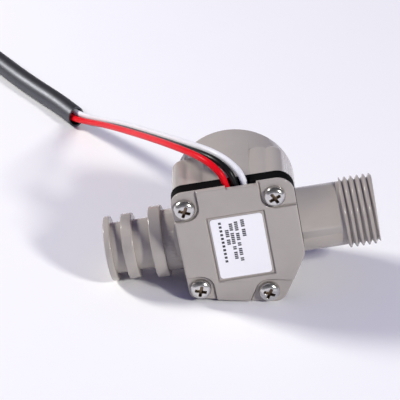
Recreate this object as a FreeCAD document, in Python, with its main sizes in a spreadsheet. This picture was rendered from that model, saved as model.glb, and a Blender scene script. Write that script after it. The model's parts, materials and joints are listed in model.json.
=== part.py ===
import FreeCAD, Part
import math
import os
from types import SimpleNamespace

import Sketcher
from FreeCAD import Placement, Rotation, Vector

# Water flow sensor: a moulded housing with a plug-in nozzle and a threaded pipe, a paddle wheel with
# magnets inside it, and a dry tray with a Hall chip under the cover plate.
# Each piece is drawn in the sensor's own frame: X along the pipe to the threaded end, Y from the cover
# to the rear of the housing, Z up. The paddle wheel turns about Y, and the pipe's axis lies in the
# plane Y = 0. Lengths are in millimetres.

SIZES = [
    ("front_depth", 15.0, "pipe axis to the cover's face"),
    ("rear_depth", 20.6, "pipe axis to the housing's rear face"),
    ("cover_thick", 1.6, "cover plate"),
    ("tray_thick", 3.0, "sensor tray"),
    ("gasket_thick", 1.0, "rubber gasket"),
    ("barrel_front", 18.4, "radius of the round housing at its face"),
    ("barrel_rear", 18.1, "radius of the round housing at its rear, after the mould draft"),
    ("barrel_round", 0.8, "rounding of the rear rim"),
    ("chamber_radius", 15.0, "wet chamber"),
    ("rear_wall", 2.6, "wall behind the wet chamber"),
    ("cover_left", 16.65, "cover outline, left edge"),
    ("cover_right", 18.8, "cover outline, right edge"),
    ("cover_top", 18.85, "cover outline, top edge"),
    ("side_drop", 7.3, "right edge ends this far below the rotor axis"),
    ("heel_drop", 16.75, "left edge ends this far below the rotor axis"),
    ("toe_reach", 10.05, "lowest corner of the outline, to the right"),
    ("toe_drop", 22.9, "lowest corner of the outline, downwards"),
    ("left_round", 3.6, "upper left corner of the outline"),
    ("right_round", 5.0, "upper right corner"),
    ("heel_round", 2.6, "lower left corner"),
    ("toe_round", 4.0, "lowest corner"),
    ("side_round", 7.0, "corner at the right"),
    ("screw_side", 13.05, "three screws, sideways from the rotor axis"),
    ("screw_height", 13.7, "three screws, up or down from the rotor axis"),
    ("toe_screw_side", 6.55, "fourth screw, sideways"),
    ("toe_screw_drop", 18.05, "fourth screw, downwards"),
    ("boss_radius", 3.6, "screw bosses on the barrel"),
    ("boss_length", 18.2, "screw bosses"),
    ("boss_round", 2.0, "rounding of a boss's rear end"),
    ("boss_fillet", 7.0, "hollow rounding between a boss and the barrel"),
    ("shank_radius", 1.45, "screw shank"),
    ("shank_length", 14.0, "screw shank under its head"),
    ("head_radius", 3.15, "screw head"),
    ("head_height", 2.2, "screw head"),
    ("cross_depth", 1.2, "cross recess"),
    ("cross_width", 0.9, "cross recess"),
    ("pocket_radius", 4.1, "round inner corner of a screw pocket"),
    ("pocket_depth", 0.7, "screw pocket"),
    ("line_width", 0.35, "fine groove along the edge of the pockets and of the label recess"),
    ("line_depth", 0.35, "fine groove, below the floor of the pocket or recess"),
    ("fit", 0.05, "clearance of a part that drops into its seat"),
    ("pipe_drop", 4.5, "pipe axis below the rotor axis"),
    ("neck_radius", 9.2, "nozzle neck at the barrel"),
    ("lip_start", 21.75, "rear lip of the nozzle, near side"),
    ("lip_end", 25.5, "rear lip, far side"),
    ("lip_radius", 10.65, "rear lip"),
    ("ring_start", 30.55, "middle ring, near side"),
    ("ring_end", 33.9, "middle ring, far side"),
    ("ring_radius", 9.7, "middle ring and end ring"),
    ("groove_radius", 7.6, "bottom of the two seal grooves"),
    ("nose_start", 37.2, "end ring, near side"),
    ("nose_end", 39.1, "end of the nozzle"),
    ("edge_round", 0.4, "soft edges of the nozzle's rings"),
    ("edge_chamfer", 0.5, "chamfer at both ends of the thread"),
    ("pipe_radius", 9.45, "plain pipe before the thread"),
    ("thread_start", 31.0, "thread, near side"),
    ("thread_end", 41.0, "end of the threaded pipe"),
    ("thread_radius", 10.4775, "thread crest, half of the 20.955 of a G 1/2 thread"),
    ("inlet_radius", 5.5, "inlet bore"),
    ("seat_radius", 5.2, "seat of the jet insert, at the inner end of the inlet bore"),
    ("inlet_step", 17.5, "shoulder that stops the jet insert"),
    ("step_radius", 4.4, "inlet bore behind the shoulder"),
    ("outlet_radius", 7.0, "outlet bore"),
    ("outlet_step", 18.0, "inner end of the outlet bore"),
    ("outlet_throat", 6.2, "passage from the chamber to the outlet bore"),
    ("jet_length", 7.5, "jet insert"),
    ("jet_throat", 3.2, "radius of the jet insert's throat"),
    ("shaft_radius", 1.0, "fixed shaft"),
    ("running_fit", 0.05, "radial clearance of the bush on the shaft"),
    ("end_play", 0.08, "axial clearance of the paddle wheel"),
    ("front_post", 2.4, "shaft post behind the tray"),
    ("post_radius", 3.6, "shaft posts"),
    ("post_hole", 2.0, "depth of the hole in the front post"),
    ("rear_post_front", 7.0, "front face of the rear post"),
    ("rear_socket", 5.0, "depth of the shaft's hole in the rear post"),
    ("washer_thick", 0.4, "thrust washers"),
    ("washer_radius", 2.8, "thrust washers"),
    ("bush_radius", 2.0, "bush in the hub, outside"),
    ("hub_radius", 4.0, "hub of the paddle wheel"),
    ("web_radius", 11.6, "disc that carries the magnets"),
    ("web_thick", 3.0, "disc that carries the magnets"),
    ("web_step", 0.5, "hub stands out in front of the disc"),
    ("blade_radius", 13.6, "tips of the blades"),
    ("blade_thick", 1.5, "blades"),
    ("magnet_radius", 2.4, "magnets"),
    ("magnet_thick", 2.2, "magnets"),
    ("magnet_orbit", 7.8, "magnet centres from the rotor axis"),
    ("board_width", 15.0, "circuit board"),
    ("board_top", 9.4, "circuit board, upper edge"),
    ("board_bottom", 5.6, "circuit board, lower edge below the rotor axis"),
    ("board_thick", 0.8, "circuit board"),
    ("board_centre", 2.8, "middle of the board, its pocket and the wire channel, to the right"),
    ("pocket_gap", 0.8, "room around the board"),
    ("tray_floor", 0.7, "tray floor under the board"),
    ("channel_width", 7.8, "wire channel in the tray"),
    ("notch_width", 8.9, "notch in the cover's top edge"),
    ("notch_side", 4.0, "middle of the notch, to the right"),
    ("notch_depth", 0.7, "notch in the cover's top edge"),
    ("label_width", 15.2, "label"),
    ("label_height", 20.3, "label"),
    ("label_thick", 0.15, "label"),
    ("label_side", 0.9, "label centre, to the right"),
    ("label_drop", 1.3, "label centre, downwards"),
    ("label_round", 1.0, "label corners"),
    ("recess_margin", 0.9, "recess around the label"),
    ("recess_depth", 0.3, "label recess"),
    ("wire_radius", 0.9, "one wire"),
    ("wire_pitch", 2.65, "spacing of the wires where they leave the cover"),
    ("wire_rise", 0.95, "first bend of the wires, above the cover's top edge"),
    ("wire_tuck", 6.0, "length of the wires inside the sleeve"),
    ("core_radius", 0.45, "tinned wire end on its solder pad"),
    ("sleeve_radius", 3.3, "sleeve over the three wires"),
    ("plug_width", 9.8, "connector"),
    ("plug_depth", 7.0, "connector"),
    ("plug_height", 5.8, "connector"),
    ("plug_pitch", 2.5, "spacing of the connector's contacts"),
]

BLADES = 6
MAGNETS = 4

doc = FreeCAD.newDocument("FlowSensor")
sheet = doc.addObject("Spreadsheet::Sheet", "Sizes")
for row, (name, value, meaning) in enumerate(SIZES, 1):
    sheet.set(f"A{row}", name)
    sheet.set(f"B{row}", str(value))
    sheet.setAlias(f"B{row}", name)
    sheet.set(f"C{row}", meaning)
doc.recompute()


class Length:
    """A length: its value, and the formula over the sheet that gives it."""

    def __init__(self, value, formula):
        self.value = value
        self.formula = formula

    def __add__(self, other):
        other = as_length(other)
        return Length(self.value + other.value, f"({self.formula} + {other.formula})")

    def __sub__(self, other):
        other = as_length(other)
        return Length(self.value - other.value, f"({self.formula} - {other.formula})")

    def __mul__(self, factor):
        return Length(self.value * factor, f"({self.formula} * {factor:.9f})")

    def __neg__(self):
        return Length(-self.value, f"(0 - {self.formula})")


def as_length(value):
    return value if isinstance(value, Length) else Length(float(value), f"{float(value):.9f}")


ZERO = as_length(0)
S = SimpleNamespace(**{name: Length(value, f"Sizes.{name}") for name, value, _ in SIZES})

# Planes along Y, from the cover to the rear
COVER_FRONT = -S.front_depth
COVER_BACK = COVER_FRONT + S.cover_thick
TRAY_BACK = COVER_BACK + S.tray_thick
FACE = TRAY_BACK + S.gasket_thick
CHAMBER_END = S.rear_depth - S.rear_wall
HEAD_SEAT = COVER_FRONT + S.pocket_depth
POST_END = TRAY_BACK + S.front_post
HUB_FRONT = POST_END + S.washer_thick + S.end_play
HUB_BACK = S.rear_post_front - S.washer_thick - S.end_play
WEB_FRONT = HUB_FRONT + S.web_step
WEB_BACK = WEB_FRONT + S.web_thick
BOARD_BACK = TRAY_BACK - S.tray_floor
BOARD_FRONT = BOARD_BACK - S.board_thick
WIRE_DEPTH = BOARD_FRONT - S.core_radius

OUTLINE = [
    (-S.cover_left, S.cover_top),
    (S.cover_right, S.cover_top),
    (S.cover_right, -S.side_drop),
    (S.toe_reach, -S.toe_drop),
    (-S.cover_left, -S.heel_drop),
]
CORNER_ROUNDS = [
    ("LeftRound", S.left_round),
    ("RightRound", S.right_round),
    ("SideRound", S.side_round),
    ("ToeRound", S.toe_round),
    ("HeelRound", S.heel_round),
]
SCREWS = [
    (-S.screw_side, S.screw_height),
    (S.screw_side, S.screw_height),
    (-S.screw_side, -S.screw_height),
    (S.toe_screw_side, -S.toe_screw_drop),
]

pieces = []


def bind(item, prop, length):
    """Set a property from the sheet."""
    item.setExpression(prop, as_length(length).formula)


def new_body(label):
    body = doc.addObject("PartDesign::Body", label)
    body.Label = label
    pieces.append(body)
    return body


def add_sketch(body, name, role, across=ZERO, along=ZERO, off=ZERO):
    """A sketch on one of the body's own planes, with its origin moved within and off that plane."""
    plane = next(item for item in body.Origin.OriginFeatures if item.Role == role)
    sketch = body.newObject("Sketcher::SketchObject", name)
    sketch.AttachmentSupport = [(plane, "")]
    sketch.MapMode = "FlatFace"
    bind(sketch, "AttachmentOffset.Base.x", across)
    bind(sketch, "AttachmentOffset.Base.y", along)
    bind(sketch, "AttachmentOffset.Base.z", off)
    return sketch


def hold_point(sketch, geometry, end, x, y):
    """Fix a sketch point at x, y from the sketch's origin."""
    for kind, length, axis in (("DistanceX", x, -2), ("DistanceY", y, -1)):
        length = as_length(length)
        if length.value == 0:
            sketch.addConstraint(Sketcher.Constraint("PointOnObject", geometry, end, axis))
            continue
        index = sketch.addConstraint(Sketcher.Constraint(kind, -1, 1, geometry, end, length.value))
        bind(sketch, f"Constraints[{index}]", length)


def hold_radius(sketch, geometry, radius):
    index = sketch.addConstraint(Sketcher.Constraint("Radius", geometry, radius.value))
    bind(sketch, f"Constraints[{index}]", radius)


def arc_between(start, end, radius):
    """The shorter arc from start to end that turns to the left, or to the right if radius is below 0."""
    chord = end - start
    side = Vector(-chord.y, chord.x, 0).normalize()
    rise = math.sqrt(max(radius * radius - chord.Length * chord.Length / 4, 0))
    turn = 1 if radius > 0 else -1
    centre = (start + end) * 0.5 + side * rise * turn
    middle = centre - side * abs(radius) * turn
    return Part.Arc(start, middle, end)


def draw_profile(sketch, points):
    """A closed outline: (x, y) starts a line and (x, y, radius, turn) starts an arc to the next point."""
    corners = [Vector(as_length(point[0]).value, as_length(point[1]).value, 0) for point in points]
    edges = []
    starts = []
    for index, point in enumerate(points):
        start = corners[index]
        end = corners[(index + 1) % len(points)]
        if len(point) == 2:
            edges.append(sketch.addGeometry(Part.LineSegment(start, end), False))
            starts.append(1)
        else:
            edges.append(sketch.addGeometry(arc_between(start, end, point[2].value * point[3]), False))
            starts.append(1 if point[3] > 0 else 2)
    for index, point in enumerate(points):
        after = (index + 1) % len(points)
        sketch.addConstraint(
            Sketcher.Constraint("Coincident", edges[index], 3 - starts[index], edges[after], starts[after])
        )
        hold_point(sketch, edges[index], starts[index], point[0], point[1])
        if len(point) == 4:
            hold_radius(sketch, edges[index], point[2])


def draw_circle(sketch, x, y, radius):
    centre = Vector(as_length(x).value, as_length(y).value, 0)
    geometry = sketch.addGeometry(Part.Circle(centre, Vector(0, 0, 1), radius.value), False)
    hold_point(sketch, geometry, 3, x, y)
    hold_radius(sketch, geometry, radius)


def turned(body, name, points, axis="V_Axis", at=(ZERO, ZERO), cut=False):
    """Revolve a profile about Y (V_Axis) or X (H_Axis) through the point at = (x, z)."""
    sketch = add_sketch(body, name + "Profile", "XY_Plane", across=at[0], off=at[1])
    draw_profile(sketch, points)
    feature = body.newObject("PartDesign::Groove" if cut else "PartDesign::Revolution", name)
    feature.Profile = sketch
    feature.ReferenceAxis = (sketch, [axis])
    feature.Angle = 360
    return feature


def front_sketch(body, name, depth):
    """A sketch that faces the cover's side, at a depth along Y."""
    return add_sketch(body, name, "XZ_Plane", off=-depth)


def raised(body, name, sketch, thick):
    """Pad a front sketch towards the rear."""
    feature = body.newObject("PartDesign::Pad", name)
    feature.Profile = sketch
    feature.Reversed = True
    bind(feature, "Length", thick)
    return feature


def sunk(body, name, sketch, depth):
    """Pocket from a front sketch towards the rear."""
    feature = body.newObject("PartDesign::Pocket", name)
    feature.Profile = sketch
    bind(feature, "Length", depth)
    return feature


def rectangle(left, right, bottom, top):
    return [(left, bottom), (right, bottom), (right, top), (left, top)]


def around(body, name, feature, count):
    """Repeat a feature about the axis normal to its sketch."""
    doc.recompute()
    pattern = body.newObject("PartDesign::PolarPattern", name)
    pattern.Originals = [feature]
    pattern.Axis = (feature.Profile[0], ["N_Axis"])
    pattern.Angle = 360
    pattern.Occurrences = count
    body.Tip = pattern
    return pattern


def rounded(body, name, radius, chosen):
    """Fillet the edges of the body so far that the test chooses."""
    doc.recompute()
    base = body.Tip
    names = [f"Edge{number}" for number, edge in enumerate(base.Shape.Edges, 1) if chosen(edge)]
    feature = body.newObject("PartDesign::Fillet", name)
    feature.Base = (base, names)
    bind(feature, "Radius", radius)
    return feature


def edge_along_y(x, z):
    """Test for a straight edge along Y through x, z."""
    def chosen(edge):
        ends = [vertex.Point for vertex in edge.Vertexes]
        return len(ends) == 2 and all(math.hypot(p.x - x.value, p.z - z.value) < 0.01 for p in ends)
    return chosen


def edge_at_depth(depth, low, high):
    """Test for an edge in the plane at a depth along Y, whose points lie low to high from the rotor axis."""
    def chosen(edge):
        box = edge.BoundBox
        if abs(box.YMin - depth.value) > 0.001 or abs(box.YMax - depth.value) > 0.001:
            return False
        reach = [math.hypot(p.x, p.z) for p in edge.discretize(5)]
        return min(reach) >= low and max(reach) <= high
    return chosen


def outline_plate(label, front, thick):
    """A plate with the rounded five-sided outline that cover, tray and gasket share."""
    body = new_body(label)
    sketch = front_sketch(body, "Outline", front)
    draw_profile(sketch, OUTLINE)
    raised(body, "Plate", sketch, thick)
    for corner, (name, radius) in zip(OUTLINE, CORNER_ROUNDS):
        rounded(body, name, radius, edge_along_y(*corner))
    return body


def screw_holes(body, front, radius, depth):
    sketch = front_sketch(body, "ScrewHoles", front)
    for x, z in SCREWS:
        draw_circle(sketch, x, z, radius)
    sunk(body, "ScrewHolePockets", sketch, depth)


def unit(degrees):
    return math.cos(math.radians(degrees)), math.sin(math.radians(degrees))


def corner_pocket(sketch, screw, radius, first, second):
    """A pocket round a screw that is open to the two edges whose outward normals are the two angles."""
    x, z = screw
    reach = radius * 2
    (ax, az), (bx, bz) = unit(first), unit(second)
    side = 1 if ax * bz - az * bx > 0 else -1
    (tx, tz), (ux, uz) = (-az * side, ax * side), (bz * side, -bx * side)
    draw_profile(sketch, [
        (x - radius * bx, z - radius * bz, radius, -side),
        (x - radius * ax, z - radius * az),
        (x - radius * ax + reach * tx, z - radius * az + reach * tz),
        (x + reach * (tx + ux), z + reach * (tz + uz)),
        (x - radius * bx + reach * ux, z - radius * bz + reach * uz),
    ])


# Housing: barrel, bosses, nozzle and pipe in one moulding
housing = new_body("housing")
turned(housing, "Barrel", [
    (ZERO, FACE), (S.barrel_front, FACE), (S.barrel_rear, S.rear_depth), (ZERO, S.rear_depth),
])
rounded(housing, "RearRim", S.barrel_round, edge_at_depth(S.rear_depth, 5, 40))
boss_end = FACE + S.boss_length
for number, place in enumerate(SCREWS, 1):
    turned(housing, f"Boss{number}", [
        (ZERO, FACE),
        (S.boss_radius, FACE),
        (S.boss_radius, boss_end - S.boss_round, S.boss_round, 1),
        (S.boss_radius - S.boss_round, boss_end),
        (ZERO, boss_end),
    ], at=place)


def web_outline(place, side):
    """Outline that fills the corner between a boss and the barrel, on one side of the boss."""
    boss = Vector(place[0].value, place[1].value, 0)
    fillet = S.boss_fillet.value
    barrel = S.barrel_front.value * 0.7 + S.barrel_rear.value * 0.3
    barrel_reach = barrel + fillet
    boss_reach = S.boss_radius.value + fillet
    spread = (boss.Length ** 2 + barrel_reach ** 2 - boss_reach ** 2) / (2 * boss.Length * barrel_reach)
    hollow = Rotation(Vector(0, 0, 1), math.degrees(math.acos(spread)) * side).multVec(boss)
    hollow = hollow.normalize() * barrel_reach
    on_barrel = hollow * (barrel / barrel_reach)
    on_boss = hollow + (boss - hollow).normalize() * fillet
    inside = boss * ((barrel - 1) / boss.Length)
    return [(on_boss.x, on_boss.y, S.boss_fillet, side), (on_barrel.x, on_barrel.y), (inside.x, inside.y)]


for side in (-1, 1):
    webs = front_sketch(housing, "LeftWebs" if side > 0 else "RightWebs", FACE)
    for place in SCREWS:
        draw_profile(webs, web_outline(place, side))
    raised(housing, "LeftWebPads" if side > 0 else "RightWebPads", webs, S.boss_length - S.boss_round * 0.5)


def soft_ring(near, far, radius):
    """Profile of a ring round the nozzle with soft edges, from its far side to its near side."""
    edge = S.edge_round
    return [(-far, radius - edge, edge, -1), (edge - far, radius), (-near - edge, radius, edge, -1),
            (-near, radius - edge)]


PIPE = (ZERO, -S.pipe_drop)
root = S.chamber_radius - 3
turned(housing, "Nozzle", [
    (-root, ZERO), (-S.nose_end, ZERO),
    *soft_ring(S.nose_start, S.nose_end, S.ring_radius), (-S.nose_start, S.groove_radius),
    (-S.ring_end, S.groove_radius),
    *soft_ring(S.ring_start, S.ring_end, S.ring_radius), (-S.ring_start, S.groove_radius),
    (-S.lip_end, S.groove_radius),
    *soft_ring(S.lip_start, S.lip_end, S.lip_radius), (-S.lip_start, S.neck_radius),
    (-root, S.neck_radius),
], axis="H_Axis", at=PIPE)
turned(housing, "Pipe", [
    (root, ZERO), (root, S.pipe_radius), (S.thread_start, S.pipe_radius),
    (S.thread_start + S.edge_chamfer, S.thread_radius), (S.thread_end - S.edge_chamfer, S.thread_radius),
    (S.thread_end, S.thread_radius - S.edge_chamfer), (S.thread_end, ZERO),
], axis="H_Axis", at=PIPE)
turned(housing, "Chamber", [
    (ZERO, FACE), (S.chamber_radius, FACE), (S.chamber_radius, CHAMBER_END),
    (S.post_radius + 1, CHAMBER_END), (S.post_radius, S.rear_post_front), (ZERO, S.rear_post_front),
], cut=True)
socket_end = S.rear_post_front + S.rear_socket
turned(housing, "ShaftSocket", [
    (ZERO, S.rear_post_front), (S.shaft_radius + S.fit, S.rear_post_front),
    (S.shaft_radius + S.fit, socket_end), (ZERO, socket_end),
], cut=True)
jet_start = S.inlet_step + S.jet_length
turned(housing, "Inlet", [
    (-S.nose_end - 1, ZERO), (-S.nose_end - 1, S.inlet_radius),
    (-jet_start, S.inlet_radius), (-jet_start, S.seat_radius),
    (-S.inlet_step, S.seat_radius), (-S.inlet_step, S.step_radius),
    (-root + 1, S.step_radius), (-root + 1, ZERO),
], axis="H_Axis", at=PIPE, cut=True)
turned(housing, "Outlet", [
    (root - 1, ZERO), (root - 1, S.outlet_throat),
    (S.outlet_step, S.outlet_throat), (S.outlet_step, S.outlet_radius),
    (S.thread_end + 1, S.outlet_radius), (S.thread_end + 1, ZERO),
], axis="H_Axis", at=PIPE, cut=True)
screw_holes(housing, FACE, S.shank_radius + S.fit, S.boss_length - 5)

# Jet insert: stands against the shoulder in the inlet and narrows the stream onto the blades
jet = new_body("jet_insert")
jet_outside = S.seat_radius - S.fit
turned(jet, "Funnel", [
    (-jet_start, jet_outside - 0.8), (-jet_start, jet_outside), (-S.inlet_step, jet_outside),
    (-S.inlet_step, S.jet_throat), (-S.inlet_step - 2.5, S.jet_throat),
], axis="H_Axis", at=PIPE)

# Gasket between the housing's face and the tray
gasket = outline_plate("sealing_gasket", TRAY_BACK, S.gasket_thick)
opening = front_sketch(gasket, "Opening", TRAY_BACK)
draw_circle(opening, ZERO, ZERO, S.chamber_radius + 0.2)
sunk(gasket, "OpeningPocket", opening, S.gasket_thick)
screw_holes(gasket, TRAY_BACK, S.shank_radius + 0.2, S.gasket_thick)

# Sensor tray: a dry pocket for the board in front, the shaft's front post behind
tray = outline_plate("sensor_tray", COVER_BACK, S.tray_thick)
turned(tray, "FrontPost", [
    (ZERO, TRAY_BACK - S.tray_floor), (S.post_radius, TRAY_BACK - S.tray_floor),
    (S.post_radius, POST_END), (ZERO, POST_END),
])
turned(tray, "PostHole", [
    (ZERO, POST_END - S.post_hole), (S.shaft_radius + S.fit, POST_END - S.post_hole),
    (S.shaft_radius + S.fit, POST_END), (ZERO, POST_END),
], cut=True)
pocket_half = S.board_width * 0.5 + S.pocket_gap
channel_half = S.channel_width * 0.5
pocket_top = S.board_top + S.pocket_gap
hollow = front_sketch(tray, "BoardPocket", COVER_BACK)
draw_profile(hollow, [
    (S.board_centre - pocket_half, -S.board_bottom - S.pocket_gap),
    (S.board_centre + pocket_half, -S.board_bottom - S.pocket_gap),
    (S.board_centre + pocket_half, pocket_top),
    (S.board_centre + channel_half, pocket_top),
    (S.board_centre + channel_half, S.cover_top + 1),
    (S.board_centre - channel_half, S.cover_top + 1),
    (S.board_centre - channel_half, pocket_top),
    (S.board_centre - pocket_half, pocket_top),
])
sunk(tray, "BoardPocketCut", hollow, S.tray_thick - S.tray_floor)
screw_holes(tray, COVER_BACK, S.shank_radius + 0.2, S.tray_thick)

# Cover plate: screw pockets, label recess and wire notch
cover = outline_plate("cover_plate", COVER_FRONT, S.cover_thick)
rounded(cover, "FrontEdge", S.cover_thick * 0.3, edge_at_depth(COVER_FRONT, 12, 40))
pockets = front_sketch(cover, "ScrewPockets", COVER_FRONT)
chamfer_normal = math.degrees(math.atan2(
    S.toe_reach.value - S.cover_right.value, S.toe_drop.value - S.side_drop.value))
heel_normal = -90 - math.degrees(math.atan2(
    S.toe_drop.value - S.heel_drop.value, S.toe_reach.value + S.cover_left.value))
pocket_lines = front_sketch(cover, "PocketLines", COVER_FRONT)
for screw, normals in zip(SCREWS, [(180, 90), (0, 90), (180, 270), (chamfer_normal, heel_normal)]):
    corner_pocket(pockets, screw, S.pocket_radius, *normals)
    corner_pocket(pocket_lines, screw, S.pocket_radius, *normals)
    corner_pocket(pocket_lines, screw, S.pocket_radius - S.line_width, *normals)
sunk(cover, "ScrewPocketCuts", pockets, S.pocket_depth)
sunk(cover, "PocketLineCuts", pocket_lines, S.pocket_depth + S.line_depth)
screw_holes(cover, HEAD_SEAT, S.shank_radius + 0.2, S.cover_thick)
half_width = S.label_width * 0.5
half_height = S.label_height * 0.5
label_box = (S.label_side - half_width, S.label_side + half_width,
             -S.label_drop - half_height, half_height - S.label_drop)
margin = S.recess_margin
recess = front_sketch(cover, "LabelRecess", COVER_FRONT)
recess_line = front_sketch(cover, "RecessLine", COVER_FRONT)


def around_label(gap):
    return rectangle(label_box[0] - gap, label_box[1] + gap, label_box[2] - gap, label_box[3] + gap)


draw_profile(recess, around_label(margin))
draw_profile(recess_line, around_label(margin))
draw_profile(recess_line, around_label(margin - S.line_width))
sunk(cover, "LabelRecessCut", recess, S.recess_depth)
sunk(cover, "RecessLineCut", recess_line, S.recess_depth + S.line_depth)
notch = front_sketch(cover, "WireNotch", COVER_FRONT)
half_notch = S.notch_width * 0.5
draw_profile(notch, rectangle(
    S.notch_side - half_notch, S.notch_side + half_notch, S.cover_top - S.notch_depth, S.cover_top + 1))
sunk(cover, "WireNotchCut", notch, S.cover_thick)

# Cover screws: pan heads with a cross recess
for number, place in enumerate(SCREWS, 1):
    screw = new_body(f"cover_screw_{number}")
    crown = S.head_height * 0.75
    tip = HEAD_SEAT + S.shank_length
    turned(screw, "Turning", [
        (ZERO, HEAD_SEAT - S.head_height),
        (ZERO, tip),
        (S.shank_radius, tip - S.shank_radius),
        (S.shank_radius, HEAD_SEAT),
        (S.head_radius, HEAD_SEAT),
        (S.head_radius, HEAD_SEAT - S.head_height + crown, crown, -1),
        (S.head_radius - crown, HEAD_SEAT - S.head_height),
    ], at=place)
    cross = front_sketch(screw, "Cross", HEAD_SEAT - S.head_height)
    x, z = place
    arm = S.head_radius * 0.55
    half = S.cross_width * 0.5
    draw_profile(cross, [
        (x - half, z - arm), (x + half, z - arm), (x + half, z - half), (x + arm, z - half),
        (x + arm, z + half), (x + half, z + half), (x + half, z + arm), (x - half, z + arm),
        (x - half, z + half), (x - arm, z + half), (x - arm, z - half), (x - half, z - half),
    ])
    sunk(screw, "CrossRecess", cross, S.cross_depth)

# Label in its recess
label = new_body("rating_label")
label_back = COVER_FRONT + S.recess_depth
paper = front_sketch(label, "Paper", label_back - S.label_thick)
draw_profile(paper, rectangle(*label_box))
raised(label, "PaperPad", paper, S.label_thick)
corners = [edge_along_y(x, z) for x, z in rectangle(*label_box)]
rounded(label, "PaperCorners", S.label_round, lambda edge: any(test(edge) for test in corners))

# Circuit board and the parts on it
board = new_body("hall_board")
board_left = S.board_centre - S.board_width * 0.5
panel = front_sketch(board, "Panel", BOARD_FRONT)
draw_profile(panel, rectangle(board_left, board_left + S.board_width, -S.board_bottom, S.board_top))
raised(board, "PanelPad", panel, S.board_thick)


def on_board(label, x, z, width, height, thick):
    """A block that lies on the board's front, centred on x, z."""
    body = new_body(label)
    sketch = front_sketch(body, "Block", BOARD_FRONT - thick)
    half_w = as_length(width) * 0.5
    half_h = as_length(height) * 0.5
    draw_profile(sketch, rectangle(x - half_w, x + half_w, z - half_h, z + half_h))
    raised(body, "BlockPad", sketch, as_length(thick))


on_board("hall_chip", S.magnet_orbit, ZERO, 4.0, 3.0, 1.2)
on_board("board_capacitor", S.board_centre - 4.5, as_length(1.5), 1.2, 2.0, 0.8)
on_board("board_resistor", S.board_centre - 1.5, as_length(1.5), 1.2, 2.0, 0.6)

WIRES = [("red", -1), ("black", 0), ("white", 1)]
wire_places = {colour: S.board_centre + S.wire_pitch * lane for colour, lane in WIRES}
for colour, x in wire_places.items():
    core = doc.addObject("Part::Cylinder", f"solder_{colour}")
    core.Label = f"solder_{colour}"
    bind(core, "Radius", S.core_radius)
    core.Height = 2.2
    start = Vector(x.value, WIRE_DEPTH.value, S.board_top.value - core.Height.Value)
    core.Placement = Placement(start, Rotation())
    pieces.append(core)

# Fixed shaft and its thrust washers
shaft = new_body("rotor_shaft")
shaft_start = POST_END - S.post_hole + S.fit * 2
turned(shaft, "Pin", [
    (ZERO, shaft_start), (S.shaft_radius, shaft_start), (S.shaft_radius, socket_end), (ZERO, socket_end),
])


def ring(label, inside, outside, start, end):
    body = new_body(label)
    turned(body, "Ring", [(inside, start), (outside, start), (outside, end), (inside, end)])


bore = S.shaft_radius + S.running_fit
ring("front_washer", bore, S.washer_radius, POST_END, POST_END + S.washer_thick)
ring("rear_washer", bore, S.washer_radius, S.rear_post_front - S.washer_thick, S.rear_post_front)

# Paddle wheel with its bush, magnets and the ring that keeps them in
wheel = new_body("impeller")
turned(wheel, "Hub", [
    (S.bush_radius, HUB_FRONT), (S.hub_radius, HUB_FRONT), (S.hub_radius, WEB_FRONT),
    (S.web_radius, WEB_FRONT), (S.web_radius, WEB_BACK), (S.hub_radius, WEB_BACK),
    (S.hub_radius, HUB_BACK), (S.bush_radius, HUB_BACK),
])
blade = front_sketch(wheel, "Blade", WEB_FRONT + S.web_thick * 0.5)
blade_half = S.blade_thick * 0.5
draw_profile(blade, rectangle(S.hub_radius - 0.8, S.blade_radius, -blade_half, blade_half))
blade_length = HUB_BACK - 0.5 - WEB_FRONT - S.web_thick * 0.5
around(wheel, "Blades", raised(wheel, "BladePad", blade, blade_length), BLADES)
seat = front_sketch(wheel, "MagnetSeat", WEB_FRONT)
draw_circle(seat, S.magnet_orbit, ZERO, S.magnet_radius)
around(wheel, "MagnetSeats", sunk(wheel, "MagnetPocket", seat, S.magnet_thick), MAGNETS)
ring("rotor_bush", bore, S.bush_radius, HUB_FRONT, HUB_BACK)
for number in range(MAGNETS):
    cosine, sine = unit(360 / MAGNETS * number)
    magnet = new_body(f"rotor_magnet_{number + 1}")
    turned(magnet, "Disc", [
        (ZERO, WEB_FRONT), (S.magnet_radius, WEB_FRONT),
        (S.magnet_radius, WEB_FRONT + S.magnet_thick), (ZERO, WEB_FRONT + S.magnet_thick),
    ], at=(S.magnet_orbit * cosine, S.magnet_orbit * sine))
ring("magnet_retainer", S.hub_radius, S.web_radius - 0.4, WEB_FRONT - S.web_step * 0.8, WEB_FRONT)

doc.recompute()


def toe_centre():
    """Centre of the rounding at the lowest corner of the outline."""
    side, toe, heel = [Vector(x.value, 0, z.value) for x, z in OUTLINE[2:5]]
    first = (side - toe).normalize()
    second = (heel - toe).normalize()
    half_angle = first.getAngle(second) / 2
    return toe + (first + second).normalize() * (S.toe_round.value / math.sin(half_angle))


# The sensor lies on the nose of the nozzle and on the lowest corner of the cover, so the pipe rises to
# the right. Its frame's origin is under the middle of its box, on that surface.
nose_edge = S.edge_round.value
nose = Vector(nose_edge - S.nose_end.value, 0, nose_edge - S.pipe_drop.value - S.ring_radius.value)
span = toe_centre() - nose
rest_angle = math.atan2(-span.z, span.x) + math.asin((S.toe_round.value - nose_edge) / span.Length)
tilt = Placement(Vector(), Rotation(Vector(0, 1, 0), -math.degrees(rest_angle)))
box = FreeCAD.BoundBox()
for piece in pieces:
    shape = piece.Shape.copy()
    shape.Placement = tilt.multiply(shape.Placement)
    box.add(shape.optimalBoundingBox(False, False))
stand = Placement(Vector(-box.Center.x, -box.Center.y, -box.ZMin), tilt.Rotation)
for piece in pieces:
    piece.Placement = stand.multiply(piece.Placement)
print(f"rest angle {math.degrees(rest_angle):.2f}, rotor axis at {tuple(round(c, 3) for c in stand.Base)}")


def in_place(x, y, z):
    """A point of the sensor's own frame where the sensor stands."""
    return stand.multVec(Vector(x, y, z))


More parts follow.
